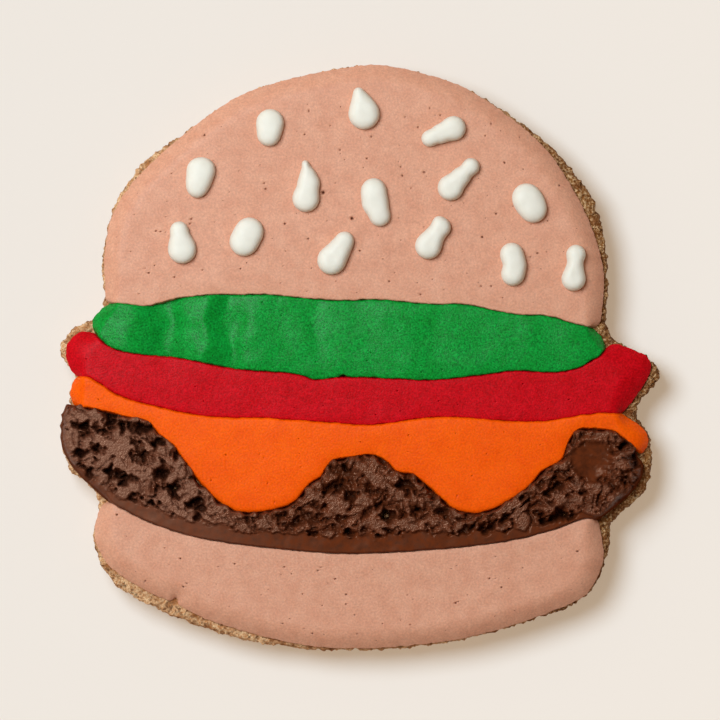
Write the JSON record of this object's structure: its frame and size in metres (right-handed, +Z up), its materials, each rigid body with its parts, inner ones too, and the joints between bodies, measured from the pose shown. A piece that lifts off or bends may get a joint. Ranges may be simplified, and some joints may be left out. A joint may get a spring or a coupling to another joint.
{
  "type": "frosted dog biscuit",
  "caption": "Flat baked dog biscuit cut as a hamburger, with pools of set icing for bun, lettuce, tomato, cheese and patty, and raised white seeds on the crown.",
  "frame": {"origin": "middle of the underside, under the middle of the biscuit's box", "axes": "+X to the right end of the bun, +Y to its crown, +Z up out of the icing"},
  "size_m": [0.1002, 0.0978, 0.0118],
  "materials": {
    "baked_crumb": "dry, coarse baked crumb, golden brown",
    "bun_icing": "matte set icing, peach tan, with small air-bubble pits",
    "lettuce_icing": "matte set icing, deep green, finely sugary",
    "tomato_icing": "matte set icing, red, finely sugary",
    "cheese_icing": "smooth satin set icing, bright orange",
    "patty_icing": "rough dabbed icing, chocolate brown, semi-gloss",
    "seed_icing": "smooth satin set icing, warm white"
  },
  "bodies": {
    "root": {"biscuit": "baked_crumb", "bun_top_icing": "bun_icing", "lettuce_icing": "lettuce_icing", "tomato_icing": "tomato_icing", "cheese_icing": "cheese_icing", "patty_icing": "patty_icing", "bun_bottom_icing": "bun_icing", "seed_01": "seed_icing", "seed_02": "seed_icing", "seed_03": "seed_icing", "seed_04": "seed_icing", "seed_05": "seed_icing", "seed_06": "seed_icing", "seed_07": "seed_icing", "seed_08": "seed_icing", "seed_09": "seed_icing", "seed_10": "seed_icing", "seed_11": "seed_icing", "seed_12": "seed_icing", "seed_13": "seed_icing", "seed_14": "seed_icing"}
  },
  "joints": []
}
